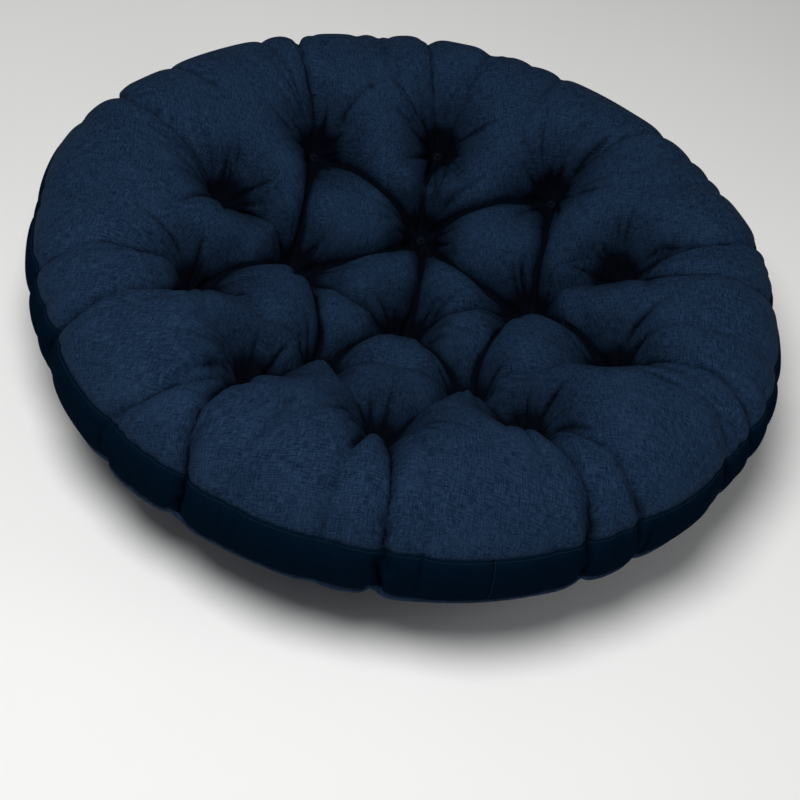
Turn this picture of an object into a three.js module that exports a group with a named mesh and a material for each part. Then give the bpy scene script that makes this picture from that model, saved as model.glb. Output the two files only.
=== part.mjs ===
// Round dished seat cushion with deep tufts, for a bowl-shaped lounge chair. Millimetres, +Z up.
// It is drawn in its used shape: curved as it lies in the bowl, with the bowl's axis along Z.
import * as THREE from "three";
import { ConvexHull } from "three/addons/math/ConvexHull.js";
import { mergeVertices } from "three/addons/utils/BufferGeometryUtils.js";

// Overall size
const OUTER_RADIUS = 600;
const EDGE_HALF_THICKNESS = 68;
const FACE_CREST_HEIGHT = 84;
const FACE_LOBE_HEIGHT = 88;
const UNDERSIDE_LOBE_HEIGHT = 62;
const DISH_DEPTH = 175;
const DISH_EXPONENT = 1.15;
const MIDDLE_HEIGHT_AT_CENTRE = 28;

// Cloth and filling
const CLOTH = 2;
const LINING_GAP = 0.8;
const FACE_SEAM_TURN = THREE.MathUtils.degToRad(52);
const UNDERSIDE_SEAM_TURN = THREE.MathUtils.degToRad(118);
const SEAM_GAP = 0.6;
const BAND_STRIPS = 3;
const FIRST_JOIN_DEG = -72;
const THREAD_RADIUS = 0.7;
const SEAM_THREAD_CLEARANCE = 0.9;
const JOIN_THREAD_CLEARANCE = 0.3;

// Tufts
const OUTER_RING = { count: 10, radius: 361, startDeg: -18 };
const INNER_RING = { count: 5, radius: 219, startDeg: 18 };
const PINCH_HALF_THICKNESS = 15;
const PINCH_FLAT_RADIUS = 10;
const PINCH_REACH = 105;
const CREASE_DEPTH = 0.3;
const CREASE_HALF_WIDTH = 40;
const CORD_RADIUS = 1.2;
const CORD_HOLE_RADIUS = 2.6;
const KNOT_RADIUS = 3.2;
const DISC_RADIUS = 8;
const DISC_THICKNESS = 3.2;
const DISC_HOLE_RADIUS = 1.9;

// Mesh fineness
const SECTORS = 60;
const POINT_SPACING = 46;
const TUFT_SECOND_RING = 34;
const TUFT_KEEP_CLEAR = 52;
const BAND_ROWS = 4;

const RIM_CENTRE_RADIUS = OUTER_RADIUS - EDGE_HALF_THICKNESS;

const CLOTH_MATERIAL = new THREE.MeshStandardMaterial({ color: 0x1a2b41, roughness: 0.92, metalness: 0 });
const BAND_MATERIAL = new THREE.MeshStandardMaterial({ color: 0x152438, roughness: 0.92, metalness: 0 });
const FILL_MATERIAL = new THREE.MeshStandardMaterial({ color: 0xe8e8e4, roughness: 1, metalness: 0 });
const THREAD_MATERIAL = new THREE.MeshStandardMaterial({ color: 0x101c2e, roughness: 0.7, metalness: 0 });
const DISC_MATERIAL = new THREE.MeshStandardMaterial({ color: 0x0e1624, roughness: 0.6, metalness: 0 });

const group = new THREE.Group();

function addPart(name, geometry, material) {
  const mesh = new THREE.Mesh(geometry, material);
  mesh.name = name;
  group.add(mesh);
}

// The middle layer of the cushion is a surface of revolution, measured along the cloth from its centre.
function middleHeight(radius) {
  const turn = Math.PI * Math.pow(radius / RIM_CENTRE_RADIUS, DISH_EXPONENT);
  return MIDDLE_HEIGHT_AT_CENTRE + DISH_DEPTH * (1 - Math.cos(turn)) / 2;
}

const meridian = [{ length: 0, radius: 0, height: middleHeight(0) }];
for (let radius = 2; radius <= RIM_CENTRE_RADIUS; radius += 2) {
  const last = meridian[meridian.length - 1];
  const height = middleHeight(radius);
  const length = last.length + Math.hypot(radius - last.radius, height - last.height);
  meridian.push({ length, radius, height });
}
const RIM_CENTRE_LENGTH = meridian[meridian.length - 1].length;
const PANEL_RADIUS = RIM_CENTRE_LENGTH + EDGE_HALF_THICKNESS * FACE_SEAM_TURN;

function meridianAt(length) {
  let index = 1;
  while (index < meridian.length - 1 && meridian[index].length < length) {
    index += 1;
  }
  const a = meridian[index - 1];
  const b = meridian[index];
  const share = (length - a.length) / (b.length - a.length);
  const radius = a.radius + share * (b.radius - a.radius);
  const height = a.height + share * (b.height - a.height);
  const slope = Math.atan2(b.height - a.height, b.radius - a.radius);
  return { radius, height, slope };
}

function lengthAtRadius(radius) {
  return meridian.find((point) => point.radius >= radius).length;
}

function ringOfTufts(ring) {
  const distance = lengthAtRadius(ring.radius);
  const tufts = [];
  for (let i = 0; i < ring.count; i += 1) {
    const angle = THREE.MathUtils.degToRad(ring.startDeg + 360 * i / ring.count);
    tufts.push(new THREE.Vector2(distance * Math.cos(angle), distance * Math.sin(angle)));
  }
  return tufts;
}

const outerTufts = ringOfTufts(OUTER_RING);
const innerTufts = ringOfTufts(INNER_RING);
const centreTuft = new THREE.Vector2(0, 0);
const tufts = [centreTuft, ...innerTufts, ...outerTufts];

// Creases run between neighbouring tufts, and from each outer tuft to the rim.
const creases = [];
for (let i = 0; i < INNER_RING.count; i += 1) {
  const outerIndex = 2 * i + 1;
  creases.push([centreTuft, innerTufts[i]]);
  creases.push([innerTufts[i], innerTufts[(i + 1) % INNER_RING.count]]);
  creases.push([innerTufts[i], outerTufts[outerIndex]]);
  creases.push([innerTufts[i], outerTufts[outerIndex - 1]]);
  creases.push([innerTufts[i], outerTufts[(outerIndex + 1) % OUTER_RING.count]]);
}
for (const tuft of outerTufts) {
  creases.push([tuft, tuft.clone().setLength(RIM_CENTRE_LENGTH)]);
}

function distanceToSegment(point, start, end) {
  const along = end.clone().sub(start);
  const share = THREE.MathUtils.clamp(point.clone().sub(start).dot(along) / along.lengthSq(), 0, 1);
  return point.distanceTo(start.clone().addScaledVector(along, share));
}

function crestHeight(side) {
  return side > 0 ? FACE_CREST_HEIGHT : EDGE_HALF_THICKNESS;
}

// How far the cloth stands off the middle layer on the face (side 1) or the underside (side -1).
function standOff(point, side) {
  const lobeHeight = side > 0 ? FACE_LOBE_HEIGHT : UNDERSIDE_LOBE_HEIGHT;
  const fromCentre = point.length();
  const rimShare = THREE.MathUtils.smoothstep(fromCentre, 0.6 * RIM_CENTRE_LENGTH, RIM_CENTRE_LENGTH);
  const full = THREE.MathUtils.lerp(lobeHeight, crestHeight(side), rimShare);
  let crease = 0;
  for (const [start, end] of creases) {
    const near = distanceToSegment(point, start, end) / CREASE_HALF_WIDTH;
    crease = Math.max(crease, Math.exp(-near * near));
  }
  crease *= 1 - THREE.MathUtils.smoothstep(fromCentre, 0.8 * RIM_CENTRE_LENGTH, RIM_CENTRE_LENGTH);
  const nearest = Math.min(...tufts.map((tuft) => point.distanceTo(tuft)));
  const rise = THREE.MathUtils.clamp((nearest - PINCH_FLAT_RADIUS) / (PINCH_REACH - PINCH_FLAT_RADIUS), 0, 1);
  const lobe = Math.sin(rise * Math.PI / 2);
  const creased = full * (1 - CREASE_DEPTH * crease);
  return THREE.MathUtils.lerp(PINCH_HALF_THICKNESS, creased, lobe);
}

// A point off the middle layer, by distances outward along it and upward from it.
function offMiddle(onMiddle, angle, outward, upward) {
  const cos = Math.cos(onMiddle.slope);
  const sin = Math.sin(onMiddle.slope);
  const radius = onMiddle.radius + outward * cos - upward * sin;
  const height = onMiddle.height + outward * sin + upward * cos;
  return new THREE.Vector3(radius * Math.cos(angle), radius * Math.sin(angle), height);
}

// A point of the face cloth (side 1) or the underside cloth (side -1), inset by a depth from outside.
function clothPoint(flat, side, inset) {
  const fromCentre = flat.length();
  const onMiddle = meridianAt(Math.min(fromCentre, RIM_CENTRE_LENGTH));
  const share = Math.max(0, fromCentre - RIM_CENTRE_LENGTH) / (PANEL_RADIUS - RIM_CENTRE_LENGTH);
  const seamTurn = side > 0 ? FACE_SEAM_TURN : Math.PI - UNDERSIDE_SEAM_TURN;
  const outward = (EDGE_HALF_THICKNESS - inset) * Math.sin(share * seamTurn);
  const upward = side * (standOff(flat, side) - inset) * Math.cos(share * seamTurn);
  const point = offMiddle(onMiddle, Math.atan2(flat.y, flat.x), outward, upward);
  if (side < 0) {
    point.z = Math.max(point.z, inset);
  }
  return point;
}

// Points of the flat cloth circle: rings of points, with two close rings about each tuft.
function ringPoints(centre, radius, count, startAngle) {
  const points = [];
  for (let i = 0; i < count; i += 1) {
    const angle = startAngle + 2 * Math.PI * i / count;
    points.push(new THREE.Vector2(centre.x + radius * Math.cos(angle), centre.y + radius * Math.sin(angle)));
  }
  return points;
}

const flatPoints = [];
for (const tuft of tufts) {
  flatPoints.push(...ringPoints(tuft, CORD_HOLE_RADIUS, 6, 0.1));
  flatPoints.push(...ringPoints(tuft, PINCH_FLAT_RADIUS, 8, 0.2));
  flatPoints.push(...ringPoints(tuft, TUFT_SECOND_RING, 8, 0.6));
}
const ringCount = Math.round(PANEL_RADIUS / POINT_SPACING);
for (let k = 1; k < ringCount; k += 1) {
  const radius = PANEL_RADIUS * k / ringCount;
  const count = Math.min(SECTORS, Math.round(2 * Math.PI * radius / POINT_SPACING));
  for (const point of ringPoints(centreTuft, radius, count, 0.013 * k)) {
    if (Math.min(...tufts.map((tuft) => point.distanceTo(tuft))) > TUFT_KEEP_CLEAR) {
      flatPoints.push(point);
    }
  }
}
const RIM_START = flatPoints.length;
flatPoints.push(...ringPoints(centreTuft, PANEL_RADIUS, SECTORS, 0));

// The flat circle's triangles are the lower faces of the hull of its points lifted to a paraboloid.
const lifted = flatPoints.map(({ x, y }) => new THREE.Vector3(x, y, (x * x + y * y) / PANEL_RADIUS));
const hull = new ConvexHull().setFromPoints(lifted);
const indexOf = new Map(lifted.map((point, index) => [point, index]));
const triangles = [];
for (const face of hull.faces) {
  if (face.normal.z > -1e-9) {
    continue;
  }
  const corners = [];
  let edge = face.edge;
  do {
    corners.push(indexOf.get(edge.head().point));
    edge = edge.next;
  } while (edge !== face.edge);
  corners.reverse();
  const centre = new THREE.Vector2();
  for (const corner of corners) {
    centre.addScaledVector(flatPoints[corner], 1 / corners.length);
  }
  const inHole = tufts.some((tuft) => centre.distanceTo(tuft) < CORD_HOLE_RADIUS * 0.9);
  if (!inHole) {
    triangles.push(corners);
  }
}

function boundaryEdges(faces) {
  const open = new Map();
  for (const [a, b, c] of faces) {
    for (const [from, to] of [[a, b], [b, c], [c, a]]) {
      if (open.has(`${to},${from}`)) {
        open.delete(`${to},${from}`);
      } else {
        open.set(`${from},${to}`, [from, to]);
      }
    }
  }
  return [...open.values()];
}

// A closed body between two layers of the same triangles, with rows of wall points at its open edges.
function bodyBetween(faces, upper, lower, wallRows) {
  const positions = [];
  const put = (a, b, c) => positions.push(...a.toArray(), ...b.toArray(), ...c.toArray());
  for (const [a, b, c] of faces) {
    put(upper[a], upper[b], upper[c]);
    put(lower[a], lower[c], lower[b]);
  }
  for (const [from, to] of boundaryEdges(faces)) {
    const rows = [[upper[from], upper[to]], ...wallRows(from, to), [lower[from], lower[to]]];
    for (let i = 1; i < rows.length; i += 1) {
      put(rows[i - 1][0], rows[i][0], rows[i][1]);
      put(rows[i - 1][0], rows[i][1], rows[i - 1][1]);
    }
  }
  const geometry = new THREE.BufferGeometry();
  geometry.setAttribute("position", new THREE.Float32BufferAttribute(positions, 3));
  const welded = mergeVertices(geometry, 1e-4);
  welded.computeVertexNormals();
  return welded;
}

function clothLayer(side, inset, rimPull) {
  return flatPoints.map((point, index) => {
    const shortened = index >= RIM_START ? point.clone().setLength(PANEL_RADIUS - rimPull) : point;
    return clothPoint(shortened, side, inset);
  });
}

const noRows = () => [];
const bandPull = SEAM_GAP / 2;
const faceOutside = clothLayer(1, 0, bandPull);
const faceInside = clothLayer(1, CLOTH, bandPull);
addPart("top_cover", bodyBetween(triangles, faceOutside, faceInside, noRows), CLOTH_MATERIAL);
const undersideInside = clothLayer(-1, CLOTH, bandPull);
const undersideOutside = clothLayer(-1, 0, bandPull);
addPart("bottom_cover", bodyBetween(triangles, undersideInside, undersideOutside, noRows), CLOTH_MATERIAL);

// The side band bulges around the edge between its two seams.
const RIM = meridianAt(RIM_CENTRE_LENGTH);
function bandPoint(angle, turn, inset) {
  const crest = crestHeight(turn < Math.PI / 2 ? 1 : -1);
  const outward = (EDGE_HALF_THICKNESS - inset) * Math.sin(turn);
  const upward = (crest - inset) * Math.cos(turn);
  return offMiddle(RIM, angle, outward, upward);
}

function turnAtRow(row, pull) {
  const start = FACE_SEAM_TURN + pull / EDGE_HALF_THICKNESS;
  const end = UNDERSIDE_SEAM_TURN - pull / EDGE_HALF_THICKNESS;
  return start + (end - start) * row / BAND_ROWS;
}

// The filling fills the whole cover, with a hole for each tuft cord.
const fillInset = CLOTH + LINING_GAP;
function fillRows(from, to) {
  if (from < RIM_START) {
    return [];
  }
  const rows = [];
  for (let row = 1; row < BAND_ROWS; row += 1) {
    const corners = [from, to].map((index) => {
      const angle = Math.atan2(flatPoints[index].y, flatPoints[index].x);
      return bandPoint(angle, turnAtRow(row, 0), fillInset);
    });
    rows.push(corners);
  }
  return rows;
}
const fillUpper = clothLayer(1, fillInset, 0);
const fillLower = clothLayer(-1, fillInset, 0);
addPart("fibre_fill", bodyBetween(triangles, fillUpper, fillLower, fillRows), FILL_MATERIAL);

function bandStrip(index) {
  const perStrip = SECTORS / BAND_STRIPS;
  const first = THREE.MathUtils.degToRad(FIRST_JOIN_DEG) + 2 * Math.PI * index / BAND_STRIPS;
  const faces = [];
  const outer = [];
  const inner = [];
  for (let column = 0; column <= perStrip; column += 1) {
    const pull = column === 0 ? bandPull : (column === perStrip ? -bandPull : 0);
    const angle = first + 2 * Math.PI * column / SECTORS + pull / OUTER_RADIUS;
    for (let row = 0; row <= BAND_ROWS; row += 1) {
      outer.push(bandPoint(angle, turnAtRow(row, bandPull), 0));
      inner.push(bandPoint(angle, turnAtRow(row, bandPull), CLOTH));
    }
  }
  for (let column = 0; column < perStrip; column += 1) {
    for (let row = 0; row < BAND_ROWS; row += 1) {
      const corner = column * (BAND_ROWS + 1) + row;
      const beside = corner + BAND_ROWS + 1;
      faces.push([corner, corner + 1, beside + 1]);
      faces.push([corner, beside + 1, beside]);
    }
  }
  return bodyBetween(faces, outer, inner, noRows);
}
for (let i = 0; i < BAND_STRIPS; i += 1) {
  addPart(`side_band_${i + 1}`, bandStrip(i), BAND_MATERIAL);
}

// Stitching threads lie just proud of the seams.
function seamThread(side) {
  const turn = side > 0 ? FACE_SEAM_TURN : UNDERSIDE_SEAM_TURN;
  const seam = bandPoint(0, turn, -THREAD_RADIUS - SEAM_THREAD_CLEARANCE);
  const thread = new THREE.TorusGeometry(seam.x, THREAD_RADIUS, 5, SECTORS);
  thread.translate(0, 0, seam.z);
  return thread;
}
addPart("top_seam_thread", seamThread(1), THREAD_MATERIAL);
addPart("bottom_seam_thread", seamThread(-1), THREAD_MATERIAL);

class JoinLine extends THREE.Curve {
  constructor(angle) {
    super();
    this.angle = angle;
  }

  getPoint(share, target = new THREE.Vector3()) {
    const margin = 0.08;
    const turn = turnAtRow(BAND_ROWS * (margin + share * (1 - 2 * margin)), bandPull);
    return target.copy(bandPoint(this.angle, turn, -THREAD_RADIUS - JOIN_THREAD_CLEARANCE));
  }
}
for (let i = 0; i < BAND_STRIPS; i += 1) {
  const angle = THREE.MathUtils.degToRad(FIRST_JOIN_DEG) + 2 * Math.PI * i / BAND_STRIPS;
  const outline = new THREE.Shape().absarc(0, 0, THREAD_RADIUS, 0, 2 * Math.PI);
  const options = { extrudePath: new JoinLine(angle), steps: 8, curveSegments: 3, bevelEnabled: false };
  addPart(`band_join_thread_${i + 1}`, new THREE.ExtrudeGeometry(outline, options), THREAD_MATERIAL);
}

// Each tuft: a disc on the face, a disc on the underside, and a knotted cord pulling them together.
function placeAtTuft(geometry, flat) {
  const foot = meridianAt(flat.length());
  const angle = Math.atan2(flat.y, flat.x);
  geometry.rotateY(-foot.slope);
  geometry.translate(foot.radius, 0, foot.height);
  geometry.rotateZ(angle);
  return geometry;
}

function tuftDisc(flat, side) {
  const base = PINCH_HALF_THICKNESS + 0.5;
  const rim = base + DISC_THICKNESS * 0.6;
  const top = base + DISC_THICKNESS;
  const profile = [
    new THREE.Vector2(DISC_HOLE_RADIUS, base),
    new THREE.Vector2(DISC_RADIUS, base),
    new THREE.Vector2(DISC_RADIUS, rim),
    new THREE.Vector2(DISC_RADIUS * 0.7, top),
    new THREE.Vector2(DISC_HOLE_RADIUS, top),
    new THREE.Vector2(DISC_HOLE_RADIUS, base),
  ];
  const geometry = new THREE.LatheGeometry(profile, 12);
  geometry.rotateX(side * Math.PI / 2);
  return placeAtTuft(geometry, flat);
}

function tuftCord(flat) {
  const knotFoot = PINCH_HALF_THICKNESS + 0.5 + DISC_THICKNESS + 0.4;
  const knotTop = knotFoot + 2 * KNOT_RADIUS * 0.8;
  const knotMiddle = (knotFoot + knotTop) / 2;
  const half = [
    [CORD_RADIUS, knotFoot],
    [KNOT_RADIUS, knotMiddle],
    [KNOT_RADIUS * 0.6, knotTop],
    [0, knotTop],
  ];
  const lower = half.map(([radius, height]) => new THREE.Vector2(radius, -height)).reverse();
  const upper = half.map(([radius, height]) => new THREE.Vector2(radius, height));
  const geometry = new THREE.LatheGeometry([...lower, ...upper], 8);
  geometry.rotateX(Math.PI / 2);
  return placeAtTuft(geometry, flat);
}

tufts.forEach((flat, index) => {
  const number = String(index + 1).padStart(2, "0");
  addPart(`tuft_disc_face_${number}`, tuftDisc(flat, 1), DISC_MATERIAL);
  addPart(`tuft_disc_underside_${number}`, tuftDisc(flat, -1), DISC_MATERIAL);
  addPart(`tuft_cord_${number}`, tuftCord(flat), THREAD_MATERIAL);
});

export default group;
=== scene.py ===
"""Round dished seat cushion: the cloth cover, its filling, its stitching and its tufts."""

import math

import bpy
import numpy as np
from mathutils import Matrix, Vector


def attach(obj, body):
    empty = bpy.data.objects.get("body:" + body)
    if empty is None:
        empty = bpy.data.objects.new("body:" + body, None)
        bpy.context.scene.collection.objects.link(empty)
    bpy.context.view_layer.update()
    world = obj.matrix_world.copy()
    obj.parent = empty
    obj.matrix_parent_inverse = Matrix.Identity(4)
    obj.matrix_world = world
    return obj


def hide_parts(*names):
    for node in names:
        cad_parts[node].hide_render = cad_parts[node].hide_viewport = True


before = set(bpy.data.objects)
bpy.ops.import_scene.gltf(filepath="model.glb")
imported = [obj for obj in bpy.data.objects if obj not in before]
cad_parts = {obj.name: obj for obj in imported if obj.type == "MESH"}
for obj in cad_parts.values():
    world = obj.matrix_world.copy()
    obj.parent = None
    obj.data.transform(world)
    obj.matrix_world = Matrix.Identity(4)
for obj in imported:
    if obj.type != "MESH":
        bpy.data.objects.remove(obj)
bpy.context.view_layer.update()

bl_info = {
    "name": "Tufted Seat Cushion",
    "version": (1, 0, 0),
    "blender": (4, 5, 0),
    "location": "3D View > Sidebar > Cushion",
    "description": "Sews, stuffs and tufts a round dished seat cushion",
    "category": "Object",
}

BODY = "root"
# Where the rim lies further out or in: direction and width in degrees, and metres.
RIM_REACH = ((140, 24, 0.018), (166, 20, 0.028))
# Heights in metres above which the crests are pressed down, and which they keep under.
CREST_BEGINS = 0.24
CREST_LIMIT = 0.301
# Creases from the outer tufts to the rim: which tuft, lean in degrees, depth in metres, and bow.
RIM_CREASES = (
    (0, -4, 0.013, 0.08), (0, -13, 0.008, 0.10), (1, 1, 0.013, -0.10), (1, -12, 0.011, -0.14),
    (2, -8, 0.007, 0.02), (3, 6, 0.009, 0.03), (3, -7, 0.007, -0.03), (4, -7, 0.010, 0.04),
    (5, -7, 0.009, 0.05), (6, 0, 0.010, -0.06), (6, 13, 0.013, 0.10), (7, 10, 0.017, -0.06),
    (7, -5, 0.014, 0.10), (8, 3, 0.014, 0.03), (8, -6, 0.006, -0.04), (9, -4, 0.016, 0.05),
    (9, 5, 0.012, 0.08),
)
# Where the fuller front lobes are, in degrees.
FRONT = -92
FRONT_WIDTH = 48
# Before it settles: the share of a lobe's height that a crease takes, and how far the crease reaches.
CREASE_SHARE = 0.36
CREASE_REACH = 0.020
# The same share for a rim crease, for each metre of its depth; where it begins to fade, as a share of the
# face, and what it has lost at the seam.
RIM_CREASE_SHARE = 20
RIM_CREASE_FADE = (0.7, 0.6)
# Where the lobes begin to grow to the rim's crest, as a share of the way to the rim.
CREST_FROM = 0.6
# The cloth's flat at a tuft, and the length over which it rises to its lobe.
TUFT_FLAT = 0.008
TUFT_RISE = 0.082
# How the cloth's points are gathered: the share they are drawn in by, and the reach; and the shares of the
# face over which this ends at the rim.
GATHER_TO_CREASE = (0.42, 0.022)
GATHER_TO_TUFT = (0.50, 0.045)
GATHER_END = (0.90, 0.97)
HELD_REACH = 0.0085
# How far from the centre the ease round and along begins to change to the rim's.
ROUND_EASE_FROM = 0.42
LENGTH_EASE_FROM = 0.45
UNDER_RIM_EASE = 1.05
# How far from the axis the cover begins to be drawn out to its full radius, and where it wholly is.
DRAWN_OUT = (0.38, 0.56)
# Rim folds: seed; for the main ones, their share of the crease's depth, their width, and the shares of
# their length over which they deepen.
RIM_FOLD_SEED = 11
RIM_FOLD_SHARE = 0.9
RIM_FOLD_WIDTH = 0.012
RIM_FOLD_RISE = (0.06, 0.25)
# For the small ones beside each: how many, how far to each side in degrees, lean, depth and width, where
# they begin as a share of the face, and the length over which they deepen.
SMALL_FOLDS = 3
SMALL_FOLD_SPREAD = 16
SMALL_FOLD_LEAN = 0.10
SMALL_FOLD_DEPTH = (0.005, 0.011)
SMALL_FOLD_WIDTH = 0.009
SMALL_FOLD_BEGIN = (0.66, 0.86)
SMALL_FOLD_RISE = 0.06
# The share of their depth that both lose down the band.
BAND_FOLD_LOSS = 0.35
# Creases between tufts, after settling: depth midway, what is added at the ends, and width.
CREASE_DEPTH = (0.003, 0.011)
CREASE_POWER = 1.3
CREASE_WIDTH = 0.008
# Folds at the tufts: seed, how many darts run in to each, and how unevenly they are set round it; how many
# folds are dragged outward from each, and how far to each side.
TUFT_FOLD_SEED = 5
DART_COUNT = (8, 11)
DART_UNEVEN = 0.32
DRAG_COUNT = 6
DRAG_SPREAD = 1.2
# Both kinds: length, depth, curl, width at the tuft and for each metre off it, the distances over which
# they deepen, and the share of their length where they begin to fade.
DARTS = {"length": (0.045, 0.130), "depth": (0.007, 0.013), "curl": 4.0, "width": (0.0024, 0.040),
         "rise": (0.009, 0.022), "full": 0.35}
DRAGS = {"length": (0.12, 0.24), "depth": (0.0050, 0.0095), "curl": 2.2, "width": (0.005, 0.030),
         "rise": (0.03, 0.07), "full": 0.4}
# Where all of these are clear of the discs, and the shares of the face over which they end at the rim.
FOLD_CLEAR = (0.006, 0.024)
FOLD_END = (0.93, 0.975)
# Sizes of fold that are darkened with painted shade: passes of smoothing, depths where it begins and rises
# over, and weight.
PAINTED_FOLD_SHADE_SIZES = ((6, 0.0, 0.0024, 0.36), (60, 0.0005, 0.012, 0.85), (200, -0.002, 0.028, 0.9))
# Painted shade about each tuft: the distances where it is full and where it ends, and its weight.
PAINTED_PIT_SHADES = ((0.014, 0.052, 0.9), (0.02, 0.13, 0.62))
# How deep the seams and the joins lie.
SEAM_SINK = 0.0030
JOIN_SINK = 0.0016
JOINS = 3
# Stitches: radius, share of the pitch, how far off the cloth, and how far aside of a seam or a join, as a
# share of the way to the next line of points.
STITCH_RADIUS = 0.00050
STITCH_SHARE = 0.74
STITCH_LIFT = 0.0003
SEAM_ASIDE = 0.45
JOIN_ASIDE = 0.32
# How far out to the cover the filling reaches: at a tuft and what is added off it, over which distances.
FILLING_SHARE = (0.05, 0.67)
FILLING_RISE = (0.010, 0.085)
FILLING_OFF_GROUND = 0.003
TAU = 2 * math.pi


def degrees(value):
    return math.radians(value)


# ---------- settings


def setting(kind, **fixed):
    """A kind of setting, to be given a name, a description and a first value."""

    def made(name, description, default):
        return kind(name=name, description=description, default=default, **fixed)

    return made


as_number = setting(bpy.props.FloatProperty)
as_length = setting(bpy.props.FloatProperty, unit="LENGTH")
as_angle = setting(bpy.props.FloatProperty, subtype="ANGLE")
as_power = setting(bpy.props.FloatProperty, unit="POWER")
as_count = setting(bpy.props.IntProperty)
as_colour = setting(bpy.props.FloatVectorProperty, subtype="COLOR", size=3)


class CushionShape(bpy.types.PropertyGroup):
    """Sizes of the cushion as it lies in its bowl."""

    outer_radius: as_length("Outer radius", "From the axis to the edge of the side band", 0.600)
    edge_half: as_length("Edge half thickness", "Half the thickness at the rim", 0.068)
    face_lobe: as_length("Face lobe height", "Rise of the face lobes off the middle layer", 0.100)
    under_lobe: as_length("Underside lobe height", "Drop of the underside lobes", 0.055)
    pinch: as_length("Pinch half thickness", "Half of what is left between the discs of a tuft", 0.015)
    dish_depth: as_length("Dish depth", "Drop of the middle layer from rim to centre", 0.175)
    dish_power: as_number("Dish exponent", "How soon the dish begins to rise from its centre", 1.15)
    centre_height: as_length("Centre height", "Height of the middle layer at the axis", 0.028)
    face_crest: as_length("Face crest", "Rise of the face over the rim's middle layer", 0.080)
    front_rise: as_number("Front rise", "Share by which the front lobes stand fuller", 0.14)
    face_seam_turn: as_angle("Face seam", "Turn from upright to the face seam, about the rim", degrees(52))
    under_seam_turn: as_angle("Underside seam", "Turn from upright to the underside seam", degrees(118))
    band_height: as_length("Band height", "Height of the side band, cut flat", 0.086)
    outer_ring_radius: as_length("Outer tuft ring", "Radius of the outer ring of tufts", 0.361)
    inner_ring_radius: as_length("Inner tuft ring", "Radius of the inner ring of tufts", 0.219)
    first_join: as_angle("First band join", "Direction of the first join of the band", degrees(-72))


class CushionSewing(bpy.types.PropertyGroup):
    """How the cloth is cut, filled and left to settle."""

    rings: as_count("Cloth rings", "Rings of cloth points from the centre to the seam", 84)
    frames: as_count("Settling steps", "Steps the filled cover settles for", 36)
    pressure: as_number("Filling pressure", "Push of the filling", 30.0)
    tension: as_number("Cloth tension", "Resistance to stretching", 80.0)
    bending: as_number("Cloth bending", "Resistance to folding", 0.004)
    round_ease: as_number("Ease round the tufts", "Spare cloth across the tufted part", 1.48)
    length_ease: as_number("Ease along the tufts", "Spare cloth from centre towards the rim", 1.60)
    rim_round_ease: as_number("Ease round the rim", "Spare cloth gathered round the rim", 1.22)
    rim_length_ease: as_number("Ease over the rim", "Spare cloth from the last tufts over the rim", 1.48)
    under_ease: as_number("Underside ease", "Spare cloth of the underside", 1.1)
    cloth_thickness: as_length("Cloth thickness", "Thickness of the cover", 0.0014)
    stitch_pitch: as_length("Stitch pitch", "Length of one stitch and its gap", 0.0046)


class CushionColours(bpy.types.PropertyGroup):
    """Colours of the cloth, of the painted shade on its band and in its folds, and of the small parts."""

    yarn: as_colour("Yarn", "Main yarn of the cover", (0.0073, 0.0193, 0.0455))
    slub: as_colour("Slub", "Paler slubs in the yarn", (0.0158, 0.0378, 0.0796))
    shade: as_colour("Dark yarn", "Gaps and dark yarn", (0.0029, 0.0084, 0.0211))
    # Painted shade on the band, which faces out and down: its cloth is blended almost wholly to this colour.
    painted_band_shade: as_colour("Band shade", "Darker cloth of the band", (0.0004, 0.0050, 0.0125))
    # Painted shade: the colour the cloth is darkened to in its folds and about the tufts.
    deep: as_colour("In the folds", "Cloth deep in a fold", (0.0002, 0.0008, 0.0030))
    thread: as_colour("Thread", "Sewing thread", (0.0032, 0.0080, 0.0180))
    disc: as_colour("Disc", "Tuft discs", (0.0012, 0.0024, 0.0052))
    fibre: as_colour("Fibre", "Loose filling", (0.80, 0.80, 0.77))
    floor: as_colour("Floor", "Studio floor", (0.92, 0.92, 0.91))


class CushionStudio(bpy.types.PropertyGroup):
    """Camera and lights."""

    lens: as_number("Lens", "Focal length in millimetres", 81.0)
    distance: as_length("Camera distance", "From the middle of the rim", 2.86)
    elevation: as_angle("Elevation", "Camera angle above the rim", degrees(42.46))
    roll: as_angle("Roll", "Turn of the camera about its own axis", degrees(11.09))
    shift_x: as_number("Shift X", "Sideways lens shift", -0.0171)
    shift_y: as_number("Shift Y", "Upright lens shift", -0.154)
    key_power: as_power("Key light", "Power of the large soft light", 92.0)
    fill_power: as_power("Side light", "Power of the side light", 10.0)
    sky: as_number("Sky", "Strength of the light from all round", 0.12)


def shape():
    return bpy.context.scene.cushion_shape


def sewing():
    return bpy.context.scene.cushion_sewing


def colours():
    return bpy.context.scene.cushion_colours


def studio():
    return bpy.context.scene.cushion_studio


# ---------- shader maths


class Value:
    """One output socket of a material, with arithmetic."""

    def __init__(self, tree, socket):
        self.tree = tree
        self.socket = socket

    def maths(self, operation, *others):
        node = self.tree.nodes.new("ShaderNodeMath")
        node.operation = operation
        for slot, item in zip(node.inputs, (self, *others)):
            if isinstance(item, Value):
                self.tree.links.new(item.socket, slot)
            else:
                slot.default_value = item
        return Value(self.tree, node.outputs[0])

    def __add__(self, other):
        return self.maths("ADD", other)

    def __sub__(self, other):
        return self.maths("SUBTRACT", other)

    def __rsub__(self, other):
        return (self * -1.0) + other

    def __mul__(self, other):
        return self.maths("MULTIPLY", other)

    __radd__ = __add__
    __rmul__ = __mul__

    def limited(self, low, high):
        return self.maths("MAXIMUM", low).maths("MINIMUM", high)


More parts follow.
